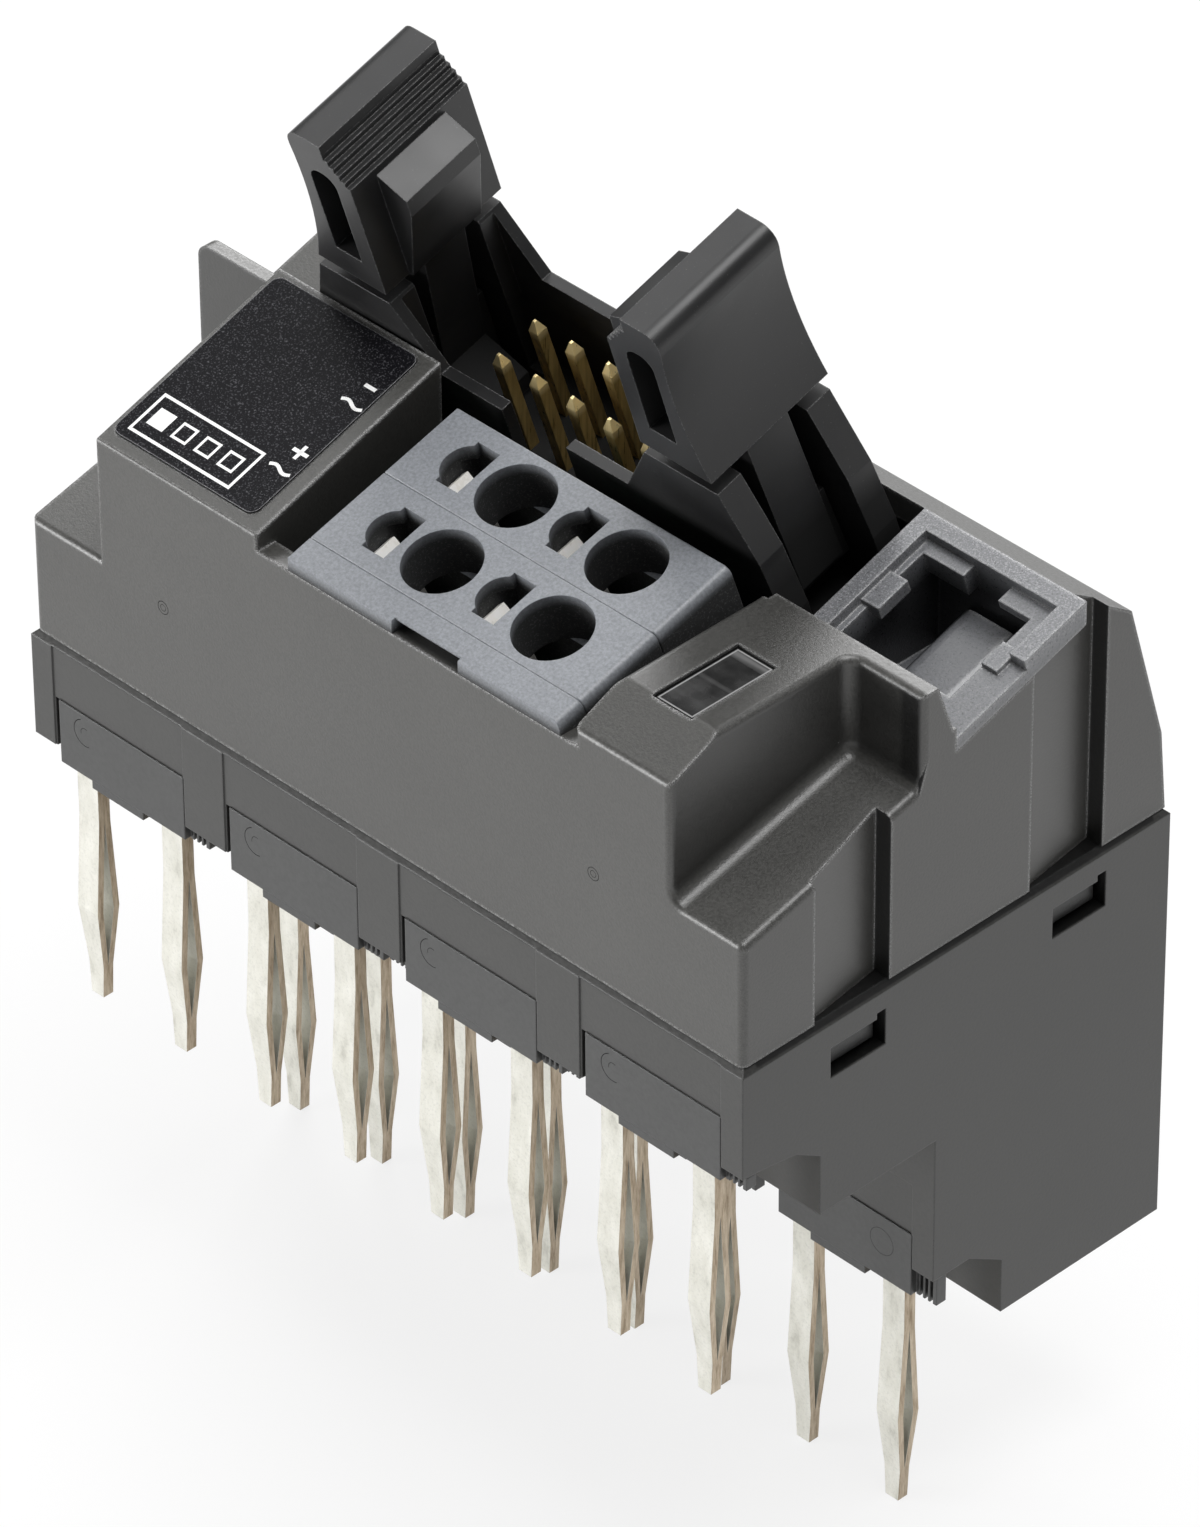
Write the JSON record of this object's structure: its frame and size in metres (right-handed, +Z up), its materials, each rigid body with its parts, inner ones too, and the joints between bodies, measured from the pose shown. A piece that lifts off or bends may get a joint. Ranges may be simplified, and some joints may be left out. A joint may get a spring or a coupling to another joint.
{
  "type": "relay socket",
  "caption": "Plug-in interface for slim relay sockets: stepped case with blade contact pins, box header with ejector levers and spring clamp terminals.",
  "frame": {"origin": "middle of the two contact rows, on the flat underside that seats on the sockets", "axes": "+X along the row of sockets, +Y from the terminal side to the back, +Z up, away from the sockets"},
  "size_m": [0.0496, 0.0291, 0.0697],
  "materials": {
    "case_grey": "satin",
    "holder_grey": "satin",
    "label_black": "satin",
    "smoked_lens": "gloss",
    "lamp_body": "gloss",
    "insert_grey": "satin",
    "board_green": "satin",
    "link_black": "satin",
    "header_black": "gloss",
    "pin_gold": "polished",
    "terminal_grey": "satin",
    "spring_steel": "polished",
    "contact_tin": "satin",
    "pin_silver": "satin"
  },
  "bodies": {
    "socket_body": {"board_link": "link_black", "clamp_spring_1": "spring_steel", "clamp_spring_2": "spring_steel", "clamp_spring_3": "spring_steel", "clamp_spring_4": "spring_steel", "contact_pin_front_1": "pin_silver", "contact_pin_front_2": "pin_silver", "contact_pin_front_3": "pin_silver", "contact_pin_front_4": "pin_silver", "contact_pin_front_5": "pin_silver", "contact_pin_front_6": "pin_silver", "contact_pin_front_7": "pin_silver", "contact_pin_front_8": "pin_silver", "contact_pin_rear_1": "pin_silver", "contact_pin_rear_2": "pin_silver", "contact_pin_rear_3": "pin_silver", "contact_pin_rear_4": "pin_silver", "contact_pin_rear_5": "pin_silver", "contact_pin_rear_6": "pin_silver", "contact_pin_rear_7": "pin_silver", "contact_pin_rear_8": "pin_silver", "front_holder_1": "holder_grey", "front_holder_2": "holder_grey", "front_holder_3": "holder_grey", "front_holder_4": "holder_grey", "header_housing": "header_black", "header_pin_1_1": "pin_gold", "header_pin_1_2": "pin_gold", "header_pin_1_3": "pin_gold", "header_pin_1_4": "pin_gold", "header_pin_1_5": "pin_gold", "header_pin_2_1": "pin_gold", "header_pin_2_2": "pin_gold", "header_pin_2_3": "pin_gold", "header_pin_2_4": "pin_gold", "header_pin_2_5": "pin_gold", "indicator_light": "lamp_body", "indicator_window": "smoked_lens", "insert_frame": "insert_grey", "label_plate": "label_black", "lower_case": "case_grey", "pin_board": "board_green", "rear_holder_1": "holder_grey", "rear_holder_2": "holder_grey", "rear_holder_3": "holder_grey", "rear_holder_4": "holder_grey", "terminal_end_strip": "terminal_grey", "terminal_module_front": "terminal_grey", "terminal_module_rear": "terminal_grey", "top_cover": "case_grey", "upper_board": "board_green", "wire_contact_1": "contact_tin", "wire_contact_2": "contact_tin", "wire_contact_3": "contact_tin", "wire_contact_4": "contact_tin"},
    "left_ejector": {"left_lever": "header_black"},
    "right_ejector": {"right_lever": "header_black"}
  },
  "joints": [
    {"name": "left_lever_pivot", "type": "hinge", "parent": "socket_body", "child": "left_ejector", "pos_m": [-0.01415, 0.01029, 0.02537], "axis": [0, -0.9511, -0.309], "range_deg": [0, 36]},
    {"name": "right_lever_pivot", "type": "hinge", "parent": "socket_body", "child": "right_ejector", "pos_m": [0.00945, 0.01029, 0.02537], "axis": [0, 0.9511, 0.309], "range_deg": [-3, 33]}
  ]
}
